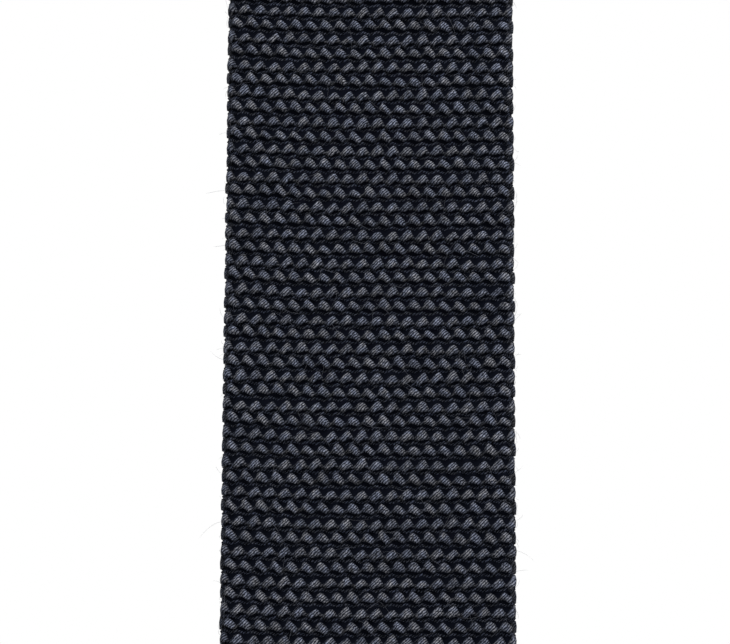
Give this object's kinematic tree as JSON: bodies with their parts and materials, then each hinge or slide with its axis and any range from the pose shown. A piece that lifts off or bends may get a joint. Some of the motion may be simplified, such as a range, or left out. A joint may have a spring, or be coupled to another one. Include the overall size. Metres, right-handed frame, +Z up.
{
  "type": "knit necktie",
  "caption": "Dark navy knit necktie with square ends, tied in a four-in-hand knot: neck loop, knot, front blade, and tail held by a keeper loop.",
  "frame": {"origin": "the middle of the neck opening, where the wearer's collar holds the tie", "axes": "+Z up, the wearer looks along -Y, +X is the viewer's right"},
  "size_m": [0.1212, 0.1459, 0.5576],
  "materials": {
    "navy_knit": "coarse knitted wool, matte, dark navy",
    "stay_tape": "plain woven tape, matte",
    "sewing_thread": "spun sewing thread, slight sheen",
    "label_satin": "satin woven label, left blank",
    "care_satin": "pale satin label, left blank"
  },
  "bodies": {
    "neck_loop": {"neck_band_knit": "navy_knit", "neck_stay_tape": "stay_tape", "neck_join_seam": "sewing_thread", "stay_tape_tack_left": "sewing_thread", "stay_tape_tack_right": "sewing_thread", "left_leg_knit": "navy_knit", "right_leg_knit": "navy_knit"},
    "knot": {"knot_tail_passage": "navy_knit", "knot_inner_wrap": "navy_knit", "knot_outer_wrap": "navy_knit", "knot_over_fold": "navy_knit"},
    "front_blade": {"front_blade_gather": "navy_knit", "front_blade_knit": "navy_knit", "front_blade_turned_hem": "navy_knit", "front_blade_linking_thread": "sewing_thread", "keeper_loop": "navy_knit", "keeper_bartack_left": "sewing_thread", "keeper_bartack_right": "sewing_thread", "woven_label": "label_satin", "woven_label_stitch_left": "sewing_thread", "woven_label_stitch_right": "sewing_thread", "care_label_stitch": "sewing_thread", "tail_gather": "navy_knit"},
    "tail": {"tail_knit": "navy_knit", "tail_turned_hem": "navy_knit", "tail_linking_thread": "sewing_thread"},
    "care_label": {"care_label": "care_satin"}
  },
  "joints": [
    {"name": "knot_slide", "type": "slide", "parent": "neck_loop", "child": "knot", "axis": [0, 0, -1], "range_m": [0, 0.025], "deforming": ["left_leg_knit", "right_leg_knit"]},
    {"name": "blade_swing", "type": "hinge", "parent": "knot", "child": "front_blade", "pos_m": [0, -0.07, -0.0722], "axis": [-1, 0, 0], "range_deg": [0, 70], "deforming": ["front_blade_gather"]},
    {"name": "tail_feed", "type": "slide", "parent": "front_blade", "child": "tail", "axis": [0, 0, 1], "range_m": [0, 0.05], "deforming": ["tail_gather"]},
    {"name": "care_label_flip", "type": "hinge", "parent": "front_blade", "child": "care_label", "pos_m": [0, -0.0727, -0.4443], "axis": [1, 0, 0], "range_deg": [0, 120]}
  ],
  "couplings": [
    {"joint": "tail_feed", "follows": "knot_slide", "ratio": 2}
  ]
}
